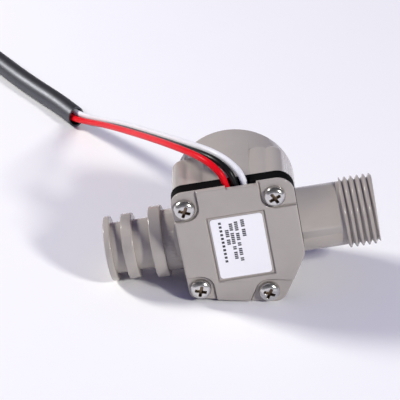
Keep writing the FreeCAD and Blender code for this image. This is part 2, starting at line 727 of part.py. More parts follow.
def tube(label, points, radius):
    """A cord along straight runs joined by tangent arcs, each arc as large as its runs allow."""
    edges = []
    start = points[0]
    radii = []
    for before, corner, after in zip(points, points[1:], points[2:]):
        back = before - corner
        ahead = after - corner
        cut = 0.45 * min(back.Length, ahead.Length)
        turn = math.pi - back.getAngle(ahead)
        bend = cut / math.tan(turn / 2)
        radii.append(round(bend, 1))
        back.normalize()
        ahead.normalize()
        first = corner + back * cut
        last = corner + ahead * cut
        inward = (back + ahead).normalize()
        middle = corner + inward * (bend / math.cos(turn / 2) - bend)
        edges.append(Part.LineSegment(start, first).toShape())
        edges.append(Part.Arc(first, middle, last).toShape())
        start = last
    edges.append(Part.LineSegment(start, points[-1]).toShape())
    path = Part.Wire(edges)
    section = Part.Wire(Part.makeCircle(radius, points[0], points[1] - points[0]))
    item = doc.addObject("Part::Feature", label)
    item.Label = label
    item.Shape = path.makePipeShell([section], True, False)
    item.Placement = Placement(Vector(), Rotation())
    pieces.append(item)
    exact = math.pi * radius * radius * path.Length
    print(f"{label}: length {path.Length:.1f}, volume {item.Shape.Volume / exact:.4f} of exact, radii {radii}")


# Lead: three wires out of the cover's notch, over the barrel and down to the surface behind it, into a
# sleeve that lies there and ends in a connector. The points are measured from the rotor axis in plan,
# and the wires' points also have their height above the surface.
ROUTE = [
    (-4.8, -9.0, 43.9), (-9.4, -3.6, 43.9), (-15.3, 7.0, 40.4), (-22.4, 25.4, 32.8), (-29.5, 45.8, 23.8),
    (-36.5, 64.5, 15.6), (-43.2, 79.8, 8.9), (-48.0, 88.3, 5.3),
]
SLEEVE = [
    (-52.0, 94.1), (-57.1, 102.0), (-64.4, 111.3), (-71.9, 121.3), (-79.9, 133.2), (-89.0, 146.5),
    (-104.4, 155.8), (-123.4, 155.5), (-139.3, 145.1), (-147.5, 129.1), (-149.7, 113.2),
]
# The wires lie side by side, the white one a little higher and the black one lower, and close up at the
# last three points of their route. There each wire's offsets sideways and upwards are given in wire
# radii, and so are those at the sleeve's far end and the lift on the way.
CLOSING = {
    "red": [(-2.0, -0.2), (-1.75, -0.45), (-1.3, -0.6)],
    "black": [(0.1, -1.2), (0.4, -1.45), (1.1, -0.65)],
    "white": [(1.75, 0.45), (1.45, 0.9), (0.7, 1.35)],
}
FAR_END = {"red": (-1.15, -0.6), "black": (0, 1.2), "white": (1.15, -0.6)}
LIFT = {"red": 0, "black": -0.55, "white": 0.4}


def above_floor(x, y, height):
    return Vector(x + stand.Base.x, y + stand.Base.y, height)


def sideways(before, after):
    """Level direction across the route."""
    along = after - before
    return Vector(along.y, -along.x, 0).normalize()


def beside(point, side, offsets):
    """A point moved sideways and upwards by offsets in wire radii."""
    return point + (side * offsets[0] + Vector(0, 0, offsets[1])) * S.wire_radius.value


sleeve_line = [above_floor(x, y, S.sleeve_radius.value) for x, y in SLEEVE]
mouth = sleeve_line[0]
centre_line = [above_floor(*point) for point in ROUTE] + [mouth]
sleeve_way = (sleeve_line[1] - mouth).normalize()
tuck = sleeve_way * S.wire_tuck.value
exit_height = S.cover_top.value + S.wire_rise.value
chain = [in_place(S.board_centre.value, WIRE_DEPTH.value, exit_height)] + centre_line + [mouth + tuck]
closing_start = len(centre_line) - len(CLOSING["red"])
for colour, lane in WIRES:
    exit_x = wire_places[colour].value
    points = [in_place(exit_x, WIRE_DEPTH.value, height) for height in (S.board_top.value, exit_height)]
    for index, (before, point, after) in enumerate(zip(chain, chain[1:], chain[2:])):
        side = sideways(before, after)
        if index == 0:
            side = (side + Vector(1, 0, 0)).normalize()
        spread = max(S.wire_pitch.value / S.wire_radius.value - 0.39 * index, 2.1 - abs(LIFT[colour]) * 0.2)
        offsets = (lane * spread, LIFT[colour] * min(index, 2) / 2)
        if index >= closing_start:
            offsets = CLOSING[colour][index - closing_start]
        points.append(beside(point, side, offsets))
    points.append(points[-1] + tuck)
    tube(f"wire_{colour}", points, S.wire_radius.value)
tube("cable_sleeve", sleeve_line, S.sleeve_radius.value)

# Far end of the lead: three short wires into a three-way connector
sleeve_end = sleeve_line[-1]
end_way = (sleeve_end - sleeve_line[-2]).normalize()
end_side = Vector(end_way.y, -end_way.x, 0)
plug_start = sleeve_end + end_way * 22 + Vector(0, 0, S.plug_height.value / 2 - sleeve_end.z)
plug_turn = Rotation(Vector(0, 1, 0), end_way)
for colour, lane in WIRES:
    start = beside(sleeve_end, end_side, FAR_END[colour])
    finish = plug_start + end_side * lane * S.plug_pitch.value
    tube(f"tail_{colour}", [start, start + end_way * 7, finish - end_way * 7, finish], S.wire_radius.value)

plug = new_body("connector_housing")
half_plug = S.plug_width * 0.5
shell = add_sketch(plug, "Shell", "XZ_Plane")
draw_profile(shell, rectangle(-half_plug, half_plug, -S.plug_height * 0.5, S.plug_height * 0.5))
raised(plug, "ShellPad", shell, S.plug_depth)
slots = add_sketch(plug, "Slots", "XZ_Plane", off=-S.plug_depth * 0.25)
for colour, lane in WIRES:
    x = S.plug_pitch * lane
    draw_profile(slots, rectangle(x - 0.9, x + 0.9, as_length(-1.0), as_length(1.0)))
sunk(plug, "SlotCuts", slots, S.plug_depth)
ribs = add_sketch(plug, "Ribs", "XZ_Plane")
rib_foot = S.plug_height * 0.5 - 0.2
for side in (-1, 1):
    x = S.plug_width * 0.3 * side
    draw_profile(ribs, rectangle(x - 0.5, x + 0.5, rib_foot, rib_foot + 0.9))
raised(plug, "RibPads", ribs, S.plug_depth * 0.7)
plug.Placement = Placement(plug_start, plug_turn)
contact_start = S.plug_depth * 0.25
for number, (colour, lane) in enumerate(WIRES, 1):
    contact = new_body(f"connector_contact_{number}")
    blank = add_sketch(contact, "Blank", "XZ_Plane", off=-contact_start)
    x = S.plug_pitch * lane
    draw_profile(blank, rectangle(x - 0.8, x + 0.8, as_length(-0.9), as_length(0.9)))
    raised(contact, "BlankPad", blank, S.plug_depth * 0.6)
    well = add_sketch(contact, "Well", "XZ_Plane", off=-contact_start - 1)
    draw_profile(well, rectangle(x - 0.5, x + 0.5, as_length(-0.6), as_length(0.6)))
    sunk(contact, "WellCut", well, S.plug_depth)
    contact.Placement = Placement(plug_start, plug_turn)

doc.recompute()
for item in doc.Objects:
    if "Invalid" in item.State or "Error" in item.State:
        raise RuntimeError(f"{item.Name} failed: {item.State}")
for piece in pieces:
    if piece.Shape.isNull() or not piece.Shape.isValid() or piece.Shape.Volume <= 0:
        raise RuntimeError(f"{piece.Label} has no valid solid")
os.makedirs("parts", exist_ok=True)
for piece in pieces:
    piece.Shape.exportStep(f"parts/{piece.Label}.step")
print(f"{len(pieces)} pieces written")
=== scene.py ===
"""Water flow sensor: finishes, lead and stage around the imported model."""

import json
import math

import bmesh
import bpy
from mathutils import Matrix, Vector


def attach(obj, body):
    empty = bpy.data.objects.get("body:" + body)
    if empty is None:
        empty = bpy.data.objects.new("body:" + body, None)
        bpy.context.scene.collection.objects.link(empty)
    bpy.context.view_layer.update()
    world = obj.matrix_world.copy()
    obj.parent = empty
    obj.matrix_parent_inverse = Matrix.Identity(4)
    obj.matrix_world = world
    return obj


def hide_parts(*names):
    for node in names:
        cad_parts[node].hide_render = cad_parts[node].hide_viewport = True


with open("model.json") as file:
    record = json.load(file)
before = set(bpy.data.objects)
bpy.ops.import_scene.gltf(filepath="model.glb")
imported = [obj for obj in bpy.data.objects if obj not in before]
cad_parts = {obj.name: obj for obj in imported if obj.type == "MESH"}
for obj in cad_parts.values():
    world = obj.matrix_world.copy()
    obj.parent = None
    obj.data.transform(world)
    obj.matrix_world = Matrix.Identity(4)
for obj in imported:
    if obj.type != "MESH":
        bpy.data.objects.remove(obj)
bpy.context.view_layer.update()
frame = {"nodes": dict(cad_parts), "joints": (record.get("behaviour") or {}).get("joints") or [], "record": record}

bl_info = {
    "name": "Water Flow Sensor",
    "version": (1, 0, 0),
    "blender": (4, 5, 0),
    "location": "View3D > Sidebar > Flow Sensor",
    "description": "Builds the flow sensor's finishes, its lead and the stage around the packed model",
    "category": "Object",
}

MM = 0.001
BODY = "sensor"
MOUNTS = {mount["name"]: mount for mount in frame["record"]["mounts"]}
UP = Vector((0.0, 0.0, 1.0))

# Mesh work: edges sharper than this stay sharp, faces flatter than this become one face, and points that
# are closer than the gap, in metres, become one point
SHARP_ANGLE = math.radians(32)
FLAT_ANGLE = math.radians(0.4)
MERGE_GAP = 2e-6

# The sensor's own frame: X along the pipe to the threaded end, Y to the rear, Z up, from the rotor axis
ROTOR_AXIS = Vector(frame["joints"][0]["pos_m"])
PIPE_WAY = Vector(MOUNTS["threaded_end"]["axis"])
REAR_WAY = Vector(MOUNTS["rear_face"]["axis"])
UP_WAY = PIPE_WAY.cross(REAR_WAY)
OWN_TURN = Matrix((PIPE_WAY, REAR_WAY, UP_WAY)).transposed()
OWN_FRAME = Matrix.Translation(ROTOR_AXIS) @ OWN_TURN.to_4x4() @ Matrix.Scale(MM, 4)

# Pipe and thread, in millimetres of the own frame: a root of the thread lies at FIRST_ROOT on the pipe's
# upper line, the thread grows out of the pipe over a short run-in, and a chamfer takes down its last crests
PIPE_DROP = 4.5
PIPE_RADIUS = 9.45
THREAD_CREST = MOUNTS["threaded_end"]["dims"]["r_mm"]
BORE_RADIUS = MOUNTS["outlet_bore"]["dims"]["r_mm"]
SHELL_START = 30.2
FIRST_ROOT = 30.5
THREAD_START = 31.2
THREAD_END = 41.0
RUN_IN = 0.05
RUN_IN_CUT = 0.06
CHAMFER_DEPTH = 0.55
CHAMFER_SLOPE = 0.9
# One turn of the thread, as parts of the pitch along the pipe and of the depth above the root
PROFILE = [
    (0.0, 0.0), (0.04, 0.0), (0.36, 0.95), (0.42, 1.0), (0.58, 1.0), (0.64, 0.95), (0.96, 0.0), (1.0, 0.0),
]
STEPS_PER_TURN = 72

# Screw heads, in millimetres of the own frame: their places on the cover, the top of the heads, how far the
# cross recess reaches sideways and between which depths, where its faces get painted shade and brownish
# dirt, and how far each cross is turned, in degrees
SCREWS = [(-13.05, 13.7), (13.05, 13.7), (-13.05, -13.7), (6.55, -18.05)]
HEAD_TOP = -16.5
CROSS_REACH = 1.8
CROSS_DEPTHS = (0.05, 1.3)
CROSS_TURNS = [25, 65, 20, 30]

# Label, in millimetres of the own frame: its rows of print run downwards, as plain dashes in words, with
# each row's place sideways, its upper end, the dashes in each word and the size of a dash
LABEL_CENTRE = (0.9, -1.3)
LABEL_FRONT = -14.85
PRINT_ROWS = [
    (-4.9, 8.6, [1] * 11, 0.8, 0.76),
    (-3.25, 5.9, [4, 3], 1.05, 0.48),
    (-1.85, 7.9, [4, 6, 2, 4], 1.0, 0.48),
    (-0.3, 8.3, [5, 4, 2, 4, 2], 1.0, 0.48),
    (1.6, 8.7, [4, 4], 1.05, 0.5),
]
DASH_STEP = 0.65
DASH_THICKNESS = 0.02

# Wires at the cover's notch, in millimetres of the own frame
WIRE_RADIUS = 0.9
WIRE_SKIN = 0.98
WIRE_PITCH = 2.65
WIRE_SIDE = 2.8
WIRE_DEPTH = -12.35
WIRE_FOOT = 9.4
COVER_TOP = 18.85
WIRE_RISE = 0.95

# Sleeve and connector, in millimetres: the wires end a tuck inside the sleeve, whose mouth reaches past the
# route's first point and leans forward on its far lower side
SLEEVE_RADIUS = 3.3
WIRE_TUCK = 6.0
MOUTH_REACH = 1.2
MOUTH_SLANT = 0.28
MOUTH_BAND = 0.1
TAIL_LENGTH = 22.0
TAIL_STRAIGHT = 7.0
PLUG_PITCH = 2.5
PLUG_HEIGHT = 5.8

# How finely the curves of the cords are drawn
CURVE_STEPS = 16
WIRE_SMOOTHNESS = 6
SLEEVE_SMOOTHNESS = 14

# Routes: points in millimetres from the rotor axis in plan and, for the wires, above the floor
ROUTE = [
    (-4.8, -9.0, 43.9), (-9.4, -3.6, 43.9), (-15.3, 7.0, 40.4), (-22.4, 25.4, 32.8), (-29.5, 45.8, 23.8),
    (-36.5, 64.5, 15.6), (-43.2, 79.8, 8.9), (-48.0, 88.3, 5.3),
]
SLEEVE = [
    (-52.0, 94.1), (-57.1, 102.0), (-64.4, 111.3), (-71.9, 121.3), (-79.9, 133.2), (-89.0, 146.5),
    (-104.4, 155.8), (-123.4, 155.5), (-139.3, 145.1), (-147.5, 129.1), (-149.7, 113.2),
]
# The wires leave the notch side by side and close up along the route, in wire radii: the spread lost from
# point to point, the least spread, the share of a wire's lift that comes off it, and the lifts
SPREAD_LOSS = 0.39
LEAST_SPREAD = 2.1
LIFT_SHARE = 0.2
LIFT = {"red": 0, "black": -0.55, "white": 0.4}
LANES = [("red", -1), ("black", 0), ("white", 1)]
# Offsets sideways and upwards, in wire radii, at the last three points and at the sleeve's far end
CLOSING = {
    "red": [(-2.0, -0.2), (-1.75, -0.45), (-1.3, -0.6)],
    "black": [(0.1, -1.3), (0.5, -1.75), (1.1, -1.2)],
    "white": [(1.75, 0.1), (1.45, 0.15), (0.7, 0.85)],
}
FAR_END = {"red": (-1.15, -0.6), "black": (0, 1.2), "white": (1.15, -0.6)}

# Camera: where it looks, from how far and at which angles, and its lens and the width of its film
AIM = Vector((-0.012342, 0.0, 0.025006))
CAMERA_DISTANCE = 0.6
CAMERA_ELEVATION = math.radians(31.033)
CAMERA_AZIMUTH = math.radians(-0.632)
CAMERA_LENS = 183.56
FILM_WIDTH = 36.0
NEAR_CLIP = 0.01

# Stage: half the floor's side, and the lamps with angles in degrees, sizes in metres and power in watts
FLOOR_REACH = 3.0
LAMPS = {
    "key": {
        "azimuth": 158, "elevation": 34.5, "distance": 1.1, "width": 0.22, "height": 0.26, "power": 10.65,
        "colour": (1.0, 0.99, 0.925)},
    "right_fill": {
        "azimuth": -43.5, "elevation": 32, "distance": 1.4, "width": 0.18, "height": 0.18, "power": 13.4,
        "colour": (1.0, 0.99, 0.945)},
}
# Room: its colours as seen and mirrored, low and high, the heights between which they change, and its light
ROOM_LOW = (0.3, 0.295, 0.315, 1.0)
ROOM_HIGH = (0.1, 0.097, 0.105, 1.0)
ROOM_CHANGE = (0.1, 0.7)
ROOM_LIGHT = (0.46, 0.44, 1.0, 1.0)
ROOM_STRENGTH = 0.29

# Colours of the connector and of pieces that show only when the sensor is taken apart
INNER_COLOURS = {
    "white_plastic": (0.78, 0.78, 0.76, 1.0),
    "ivory_plastic": (0.74, 0.69, 0.56, 1.0),
    "ceramic": (0.42, 0.29, 0.17, 1.0),
    "copper_area": (0.008, 0.06, 0.018, 1.0),
    "bare_board": (0.02, 0.16, 0.05, 1.0),
    "solder": (0.62, 0.62, 0.63, 1.0),
    "magnet": (0.34, 0.33, 0.32, 1.0),
    "brass": (0.72, 0.52, 0.22, 1.0),
}


class FlowSensorSizes(bpy.types.PropertyGroup):
    """Sizes of the details that are modelled here."""

    thread_pitch: bpy.props.FloatProperty(
        name="Thread Pitch", description="Distance from one thread crest to the next, in millimetres",
        default=1.814, min=0.5, max=4.0)
    thread_depth: bpy.props.FloatProperty(
        name="Thread Depth", description="Height of the thread's crests over its roots, in millimetres",
        default=1.16, min=0.2, max=2.0)
    edge_softness: bpy.props.FloatProperty(
        name="Edge Softness", description="Width of the rounding on moulded edges",
        default=0.00018, min=0.0, max=0.001, subtype="DISTANCE", unit="LENGTH")
    screw_softness: bpy.props.FloatProperty(
        name="Screw Softness", description="Width of the rounding on the edges of the screws",
        default=0.00007, min=0.0, max=0.0005, subtype="DISTANCE", unit="LENGTH")
    sleeve_wall: bpy.props.FloatProperty(
        name="Sleeve Wall", description="Wall thickness of the black sleeve at its open end",
        default=0.00055, min=0.0001, max=0.002, subtype="DISTANCE", unit="LENGTH")


def colour_property(name, description, red, green, blue):
    return bpy.props.FloatVectorProperty(
        name=name, description=description, default=(red, green, blue, 1.0), size=4, min=0.0, max=1.0,
        subtype="COLOR")


class FlowSensorColours(bpy.types.PropertyGroup):
    """Colours of the finishes."""

    housing: colour_property("Housing", "Warm grey plastic of housing and cover", 0.415, 0.38, 0.342)
    rubber: colour_property("Rubber", "Black gasket and tray", 0.0035, 0.0034, 0.0038)
    steel: colour_property("Screws", "Bright plated steel", 0.64, 0.63, 0.62)
    # Cross recess colour: darker brownish steel that paints the shade inside the recesses, with brownish dirt
    recess_dirt_and_shade: colour_property("Cross Recess", "Dull steel in the screws' cross recesses", 0.22, 0.165, 0.115)
    label: colour_property("Label", "White label stock", 0.95, 0.95, 0.95)
    ink: colour_property("Ink", "Printed dashes on the label", 0.035, 0.035, 0.04)
    red: colour_property("Red Wire", "Insulation of the red wire", 0.82, 0.005, 0.014)
    black: colour_property("Black Wire", "Insulation of the black wire", 0.006, 0.006, 0.007)
    white: colour_property("White Wire", "Insulation of the white wire", 0.92, 0.92, 0.92)
    sleeve: colour_property("Sleeve", "Black sleeve over the wires", 0.007, 0.007, 0.009)
    floor: colour_property("Floor", "Pale floor", 0.92, 0.916, 0.903)


class Signal:
    """An output of a node. Sums and products with signals add Math nodes."""

    def __init__(self, nodes, socket):
        self.nodes = nodes
        self.socket = socket

    def combined(self, operation, first, second):
        return self.nodes.node("ShaderNodeMath", {"operation": operation}, {0: first, 1: second})

    def larger(self, other):
        return self.combined("MAXIMUM", self, other)

    def __add__(self, other):
        return self.combined("ADD", self, other)

    def __radd__(self, other):
        return self.combined("ADD", other, self)

    def __mul__(self, other):
        return self.combined("MULTIPLY", self, other)

    def __rmul__(self, other):
        return self.combined("MULTIPLY", other, self)


class Nodes:
    """A node tree."""

    def __init__(self, tree):
        self.tree = tree

    def node(self, kind, settings=None, inputs=None, output=0):
        """Add a node: its settings first, then the values or links of its sockets."""
        made = self.tree.nodes.new(kind)
        for name, value in (settings or {}).items():
            setattr(made, name, value)
        for name, value in (inputs or {}).items():
            self.feed(made.inputs[name], value)
        return Signal(self, made.outputs[output]) if made.outputs else None

    def feed(self, socket, value):
        if isinstance(value, Signal):
            self.tree.links.new(value.socket, socket)
        else:
            socket.default_value = value

    def mixed(self, factor, first, second):
        """A colour between two colours."""
        return self.node(
            "ShaderNodeMix", {"data_type": "RGBA"}, {0: factor, 6: first, 7: second}, output=2)


class Finish(Nodes):
    """A node material. Its patterns lie in the row frame, in millimetres."""

    def __init__(self, name):
        self.material = bpy.data.materials.new(name)
        self.material.use_nodes = True
        super().__init__(self.material.node_tree)
        self.surface = self.tree.nodes["Principled BSDF"]
        place = self.node("ShaderNodeTexCoord", output="Object")
        self.place = self.node("ShaderNodeVectorMath", {"operation": "SCALE"}, {0: place, "Scale": 1 / MM})

    def set(self, values):
        """Set or link sockets of the surface."""
        for name, value in values.items():
            self.feed(self.surface.inputs[name], value)

    def noise(self, scale, detail, stretch=(1.0, 1.0, 1.0)):
        """Noise with scale features to the millimetre, drawn out along an axis by a stretch below 1."""
        place = self.node(
            "ShaderNodeVectorMath", {"operation": "MULTIPLY"}, {0: self.place, 1: stretch})
        return self.node(
            "ShaderNodeTexNoise", inputs={"Vector": place, "Scale": scale, "Detail": detail})

    def bump(self, height, depth):
        """A normal from a height pattern whose full height is depth millimetres, at half strength."""
        return self.node(
            "ShaderNodeBump", inputs={"Strength": 0.5, "Distance": depth * MM, "Height": height})


def shade(colour, factor):
    """A colour made darker or lighter."""
    red, green, blue, alpha = colour
    return (red * factor, green * factor, blue * factor, alpha)


def moulded_plastic(name, colour, roughness):
    """Satin moulded plastic: slow flow marks in colour and gloss, fine spark-eroded grain."""
    finish = Finish(name)
    flow = finish.noise(scale=0.14, detail=3.0)
    grains = finish.noise(scale=4.5, detail=3.0)
    finish.set({
        "Base Color": finish.mixed(flow, shade(colour, 0.93), shade(colour, 1.06)),
        "Roughness": roughness - 0.08 + flow * 0.1 + grains * 0.08,
        "Normal": finish.bump(grains + flow * 2.0, depth=0.012),
    })
    return finish.material


def black_rubber(name, colour):
    """Dull black rubber with a fine rough skin."""
    finish = Finish(name)
    skin = finish.noise(scale=6.0, detail=4.0)
    finish.set({
        "Base Color": finish.mixed(skin, shade(colour, 0.7), shade(colour, 1.5)),
        "Roughness": 0.5 + skin * 0.25,
        "Specular IOR Level": 0.04,
        "Normal": finish.bump(skin, depth=0.02),
    })
    return finish.material


def plated_steel(name, colour, roughness):
    """Bright plated steel with faint handling marks."""
    finish = Finish(name)
    haze = finish.noise(scale=0.9, detail=4.0)
    marks = finish.noise(scale=5.0, detail=2.0, stretch=(1.0, 1.0, 0.15))
    finish.set({
        "Base Color": finish.mixed(haze, shade(colour, 0.9), colour),
        "Metallic": 1.0,
        "Roughness": roughness - 0.05 + haze * 0.09 + marks * 0.05,
        "Normal": finish.bump(marks, depth=0.002),
    })
    return finish.material


def label_stock(name, colour):
    """White label stock with a faint tooth."""
    finish = Finish(name)
    tooth = finish.noise(scale=7.0, detail=3.0)
    finish.set({
        "Base Color": finish.mixed(tooth, shade(colour, 0.985), colour),
        "Roughness": 0.42 + tooth * 0.12,
        "Normal": finish.bump(tooth, depth=0.004),
    })
    return finish.material


def wire_insulation(name, colour, shine):
    """Extruded insulation with slight waves along the wire."""
    finish = Finish(name)
    waves = finish.noise(scale=0.35, detail=2.0)
    skin = finish.noise(scale=3.0, detail=2.0)
    finish.set({
        "Base Color": finish.mixed(waves, shade(colour, 0.88), colour),
        "Roughness": 0.31 + skin * 0.1,
        "Specular IOR Level": shine,
        "Normal": finish.bump(waves * 3.0 + skin, depth=0.012),
    })
    return finish.material


def sleeve_skin(name, colour):
    """Black sleeve, semi-gloss, with faint drawn streaks and dust."""
    finish = Finish(name)
    streaks = finish.noise(scale=1.6, detail=3.0, stretch=(0.35, 0.25, 1.0))
    dust = finish.noise(scale=9.0, detail=1.0)
    finish.set({
        "Base Color": finish.mixed(streaks * dust, shade(colour, 0.8), shade(colour, 1.7)),
        "Roughness": 0.39 + streaks * 0.14,
        "IOR": 1.7,
        "Specular IOR Level": 0.75,
        "Specular Tint": (0.84, 0.86, 1.0, 1.0),
        "Normal": finish.bump(streaks, depth=0.03),
    })
    return finish.material


def circuit_board(name):
    """Green solder mask over darker copper areas."""
    finish = Finish(name)
    copper = finish.noise(scale=0.5, detail=0.0, stretch=(1.0, 1.0, 0.4))
    finish.set({
        "Base Color": finish.mixed(copper, INNER_COLOURS["copper_area"], INNER_COLOURS["bare_board"]),
        "Roughness": 0.25 + copper * 0.15,
        "Normal": finish.bump(copper, depth=0.03),
    })
    return finish.material


def pale_floor(name, colour):
    """Pale matt floor with a barely visible tooth."""
    finish = Finish(name)
    tooth = finish.noise(scale=0.03, detail=3.0)
    finish.set({
        "Base Color": finish.mixed(tooth, shade(colour, 0.985), colour),
        "Roughness": 0.85 + tooth * 0.1,
        "Specular IOR Level": 0.2,
    })
    return finish.material


FINISHES = {}


def finish_for(slot):
    """The material of a slot of the record, the print, the painted shade and brownish dirt of the cross recesses
    or the floor, made when first used.
    """
    colours = bpy.context.scene.flow_colours
    inner = INNER_COLOURS
    makers = {
        "grey_plastic": lambda name: moulded_plastic(name, tuple(colours.housing), roughness=0.14),
        "white_plastic": lambda name: moulded_plastic(name, inner["white_plastic"], roughness=0.4),
        "ivory_plastic": lambda name: moulded_plastic(name, inner["ivory_plastic"], roughness=0.4),
        "ceramic": lambda name: moulded_plastic(name, inner["ceramic"], roughness=0.5),
        "black_plastic": lambda name: black_rubber(name, tuple(colours.rubber)),
        "black_rubber": lambda name: black_rubber(name, tuple(colours.rubber)),
        "label": lambda name: label_stock(name, tuple(colours.label)),
        "ink": lambda name: label_stock(name, tuple(colours.ink)),
        "board": circuit_board,
        "steel": lambda name: plated_steel(name, tuple(colours.steel), roughness=0.2),
        # Painted shade and brownish dirt inside the screws' cross recesses
        "recess_dirt_and_shade": lambda name: plated_steel(name, tuple(colours.recess_dirt_and_shade), roughness=0.38),
        "solder": lambda name: plated_steel(name, inner["solder"], roughness=0.3),
        "magnet": lambda name: plated_steel(name, inner["magnet"], roughness=0.28),
        "brass": lambda name: plated_steel(name, inner["brass"], roughness=0.25),
        "red_wire": lambda name: wire_insulation(name, tuple(colours.red), shine=0.1),
        "black_wire": lambda name: wire_insulation(name, tuple(colours.black), shine=0.25),
        "white_wire": lambda name: wire_insulation(name, tuple(colours.white), shine=0.25),
        "black_sleeve": lambda name: sleeve_skin(name, tuple(colours.sleeve)),
        "floor": lambda name: pale_floor(name, tuple(colours.floor)),
    }
    if slot not in FINISHES:
        FINISHES[slot] = makers[slot](f"{slot}_finish")
    return FINISHES[slot]


def node_slot(node):
    """The record's slot of a CAD node, which names the material that it comes with."""
    return frame["nodes"][node].data.materials[0].name.split(".")[0]


def add_piece(name, shape, slot, replaced=()):
    """Make an object of a bmesh, which rides on the sensor and stands for the replaced CAD nodes."""
    mesh = bpy.data.meshes.new(name)
    shape.to_mesh(mesh)
    shape.free()
    mesh.shade_smooth()
    mesh.set_sharp_from_angle(angle=SHARP_ANGLE)
    piece = bpy.data.objects.new(name, mesh)
    bpy.context.scene.collection.objects.link(piece)
    mesh.materials.append(finish_for(slot))
    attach(piece, BODY)
    if replaced:
        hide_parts(*replaced)
    return piece


def copy_of(node):
    """A merged copy of a CAD node's mesh, with its flat faces made whole."""
    shape = bmesh.new()
    shape.from_mesh(frame["nodes"][node].data)
    bmesh.ops.remove_doubles(shape, verts=shape.verts, dist=MERGE_GAP)
    bmesh.ops.dissolve_limit(shape, angle_limit=FLAT_ANGLE, verts=shape.verts, edges=shape.edges)
    return shape


def soften(piece, width):
    """Round the sharp edges of a piece and keep its flat faces flat."""
    bevel = piece.modifiers.new("Soft Edges", "BEVEL")
    bevel.width = width
    bevel.segments = 2
    bevel.limit_method = "ANGLE"
    bevel.angle_limit = SHARP_ANGLE
    bevel.use_clamp_overlap = False
    bevel.miter_outer = "MITER_ARC"
    flat = piece.modifiers.new("Flat Faces", "WEIGHTED_NORMAL")
    flat.keep_sharp = True


def own_point(x, y, z):
    """A point of the own frame, given in millimetres, in the row frame."""
    return OWN_FRAME @ Vector((x, y, z))


def floor_point(x, y, height):
    """A point of the route in the row frame."""
    return Vector((x * MM + ROTOR_AXIS.x, y * MM + ROTOR_AXIS.y, height * MM))


def sideways(before, after):
    """Level direction across the route."""
    along = after - before
    return Vector((along.y, -along.x, 0.0)).normalized()


def beside(point, side, offsets):
    """A point moved sideways and upwards by offsets in wire radii."""
    return point + (side * offsets[0] + UP * offsets[1]) * WIRE_RADIUS * MM


def sleeve_route():
    """The sleeve's points, which lie on the floor."""
    return [floor_point(x, y, SLEEVE_RADIUS) for x, y in SLEEVE]


def wire_route(colour, lane):
    """A wire's points: up out of the cover, over the barrel and down into the sleeve."""
    sleeve = sleeve_route()
    tuck = (sleeve[1] - sleeve[0]).normalized() * WIRE_TUCK * MM
    exit_height = COVER_TOP + WIRE_RISE
    chain = [own_point(WIRE_SIDE, WIRE_DEPTH, exit_height)]
    chain += [floor_point(*point) for point in ROUTE] + [sleeve[0], sleeve[0] + tuck]
    closing_start = len(ROUTE) + 1 - len(CLOSING[colour])
    exit_side = WIRE_SIDE + lane * WIRE_PITCH
    points = [own_point(exit_side, WIRE_DEPTH, height) for height in (WIRE_FOOT, exit_height)]
    for index, (before, point, after) in enumerate(zip(chain, chain[1:], chain[2:])):
        side = sideways(before, after)
        if index == 0:
            side = (side + Vector((1.0, 0.0, 0.0))).normalized()
        least = LEAST_SPREAD - LIFT_SHARE * abs(LIFT[colour])
        spread = max(WIRE_PITCH / WIRE_RADIUS - SPREAD_LOSS * index, least)
        offsets = (lane * spread, LIFT[colour] * min(index, 2) / 2)
        if index >= closing_start:
            offsets = CLOSING[colour][index - closing_start]
        points.append(beside(point, side, offsets))
    return points + [points[-1] + tuck]


def tail_route(colour, lane):
    """A short wire from the sleeve's far end into the connector."""
    sleeve = sleeve_route()
    way = (sleeve[-1] - sleeve[-2]).normalized()
    side = Vector((way.y, -way.x, 0.0))
    start = beside(sleeve[-1], side, FAR_END[colour])
    finish = sleeve[-1] + way * TAIL_LENGTH * MM + side * lane * PLUG_PITCH * MM
    finish.z = PLUG_HEIGHT * MM / 2
    straight = way * TAIL_STRAIGHT * MM
    return [start, start + straight, finish - straight, finish]


def smooth_curve(name, points):
    """A smooth line whose control points are the route's points."""
    curve = bpy.data.curves.new(name, "CURVE")
    curve.dimensions = "3D"
    curve.resolution_u = CURVE_STEPS
    spline = curve.splines.new("NURBS")
    spline.points.add(len(points) - 1)
    for control, point in zip(spline.points, points):
        control.co = (*point, 1.0)
    spline.order_u = 3
    spline.use_endpoint_u = True
    return curve


def smooth_line(points):
    """Points along the smooth line of a route."""
    holder = bpy.data.objects.new("route", smooth_curve("route", points))
    line = bpy.data.meshes.new_from_object(holder)
    return [vert.co.copy() for vert in line.vertices]


def sleeve_tube(points, line, wall):
    """The sleeve as a tube with a wall, open at both ends, its mouth cut at a slant."""
    curve = smooth_curve("sleeve", points)
    curve.bevel_depth = SLEEVE_RADIUS * MM
    curve.bevel_resolution = SLEEVE_SMOOTHNESS
    shape = bmesh.new()
    shape.from_mesh(bpy.data.meshes.new_from_object(bpy.data.objects.new("sleeve", curve)))
    bmesh.ops.solidify(shape, geom=list(shape.faces), thickness=wall)
    forward = (line[0] - line[1]).normalized()
    lean = (forward.cross(UP) - UP).normalized()
    for vert in shape.verts:
        offset = vert.co - line[0]
        if offset.dot(forward) > -MOUTH_BAND * MM:
            vert.co += forward * (MOUTH_REACH * MM + MOUTH_SLANT * offset.dot(lean))
    return shape


def smooth_cord(name, points, radius, slot, replaced):
    """A round cord along the smooth line of a route."""
    curve = smooth_curve(name, points)
    curve.bevel_depth = radius * MM
    curve.bevel_resolution = WIRE_SMOOTHNESS
    curve.use_fill_caps = True
    piece = bpy.data.objects.new(name, curve)
    bpy.context.scene.collection.objects.link(piece)
    curve.materials.append(finish_for(slot))
    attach(piece, BODY)
    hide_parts(replaced)
    return piece


